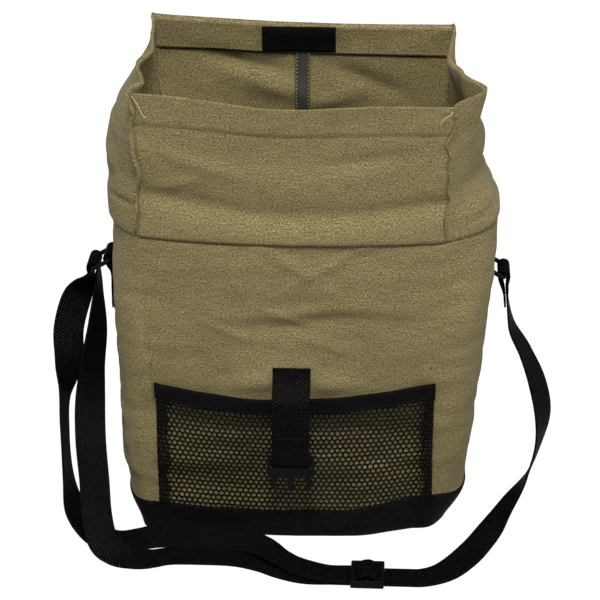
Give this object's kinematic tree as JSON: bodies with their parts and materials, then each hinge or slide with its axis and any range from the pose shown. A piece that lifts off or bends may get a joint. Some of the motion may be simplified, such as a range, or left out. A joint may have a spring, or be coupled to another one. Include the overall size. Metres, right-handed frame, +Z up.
{
  "type": "roll-top bicycle bag",
  "caption": "Open roll-top canvas bag with a black base, a net front pocket, a side-release closure, a shoulder strap and rack hooks behind.",
  "frame": {"origin": "middle of the base panel, on the surface that the bag stands on", "axes": "+X across the bag to its right seen from the front, -Y out of the front, +Z up"},
  "size_m": [0.4104, 0.258, 0.38],
  "materials": {
    "bag_canvas": "woven 600 denier heather polyester canvas",
    "base_fabric": "coated black base fabric with a pebbled face",
    "stiffener": "polypropylene board",
    "lining": "inner face of the canvas",
    "webbing": "woven polypropylene webbing",
    "buckle_plastic": "moulded acetal, satin",
    "hook_plastic": "moulded nylon, satin",
    "net": "knotless polyester net",
    "binding": "folded woven binding",
    "tape": "grey twill seam tape",
    "hook_loop": "hook and loop tape",
    "rivet_steel": "pressed steel"
  },
  "bodies": {
    "bag": {"base_panel": "base_fabric", "base_band": "base_fabric", "base_board": "stiffener", "body_front": "bag_canvas", "body_right_gusset": "bag_canvas", "body_back": "bag_canvas", "body_left_gusset": "bag_canvas", "back_board": "stiffener", "back_lining": "lining", "collar_front": "bag_canvas", "collar_right_gusset": "bag_canvas", "collar_back_right": "bag_canvas", "collar_back_left": "bag_canvas", "collar_left_gusset": "bag_canvas", "front_hem": "bag_canvas", "back_hem": "bag_canvas", "seam_tape": "tape", "hook_patch": "hook_loop", "loop_patch": "hook_loop", "pocket_net": "net", "pocket_binding": "binding", "left_tab": "webbing", "right_tab": "webbing", "strap_run": "webbing", "strap_inner": "webbing", "strap_outer": "webbing", "left_rack_hook": "hook_plastic", "right_rack_hook": "hook_plastic", "hook_rivets": "rivet_steel", "hook_washers": "rivet_steel"},
    "front_tab": {"closure_tab": "webbing"},
    "male_half": {"male_buckle": "buckle_plastic"},
    "back_strap": {"rear_strap": "webbing"},
    "female_half": {"female_buckle": "buckle_plastic"},
    "left_ring_body": {"left_ring": "buckle_plastic", "left_strap_loop": "webbing"},
    "right_ring_body": {"right_ring": "buckle_plastic", "right_strap_loop": "webbing"},
    "slider": {"strap_slider": "buckle_plastic"}
  },
  "joints": [
    {"name": "front_tab_flap", "type": "hinge", "parent": "bag", "child": "front_tab", "pos_m": [0, -0.09172, 0.159], "axis": [-1, 0, 0], "range_deg": [0, 130]},
    {"name": "male_half_swing", "type": "hinge", "parent": "front_tab", "child": "male_half", "pos_m": [0, -0.10439, 0.085], "axis": [-1, 0, 0], "range_deg": [0, 90]},
    {"name": "back_strap_swing", "type": "hinge", "parent": "bag", "child": "back_strap", "pos_m": [0, 0.0832, 0.262], "axis": [1, 0, 0], "range_deg": [0, 150]},
    {"name": "female_half_slide", "type": "slide", "parent": "back_strap", "child": "female_half", "axis": [0, 0, 1], "range_m": [0, 0.1]},
    {"name": "left_ring_swing", "type": "hinge", "parent": "bag", "child": "left_ring_body", "pos_m": [-0.15361, 0.008, 0.212], "axis": [0, 1, 0], "range_deg": [0, 50]},
    {"name": "right_ring_swing", "type": "hinge", "parent": "bag", "child": "right_ring_body", "pos_m": [0.15361, 0.008, 0.212], "axis": [0, -1, 0], "range_deg": [0, 50]},
    {"name": "slider_slide", "type": "slide", "parent": "bag", "child": "slider", "axis": [1, 0, 0], "range_m": [-0.012, 0.025]}
  ]
}
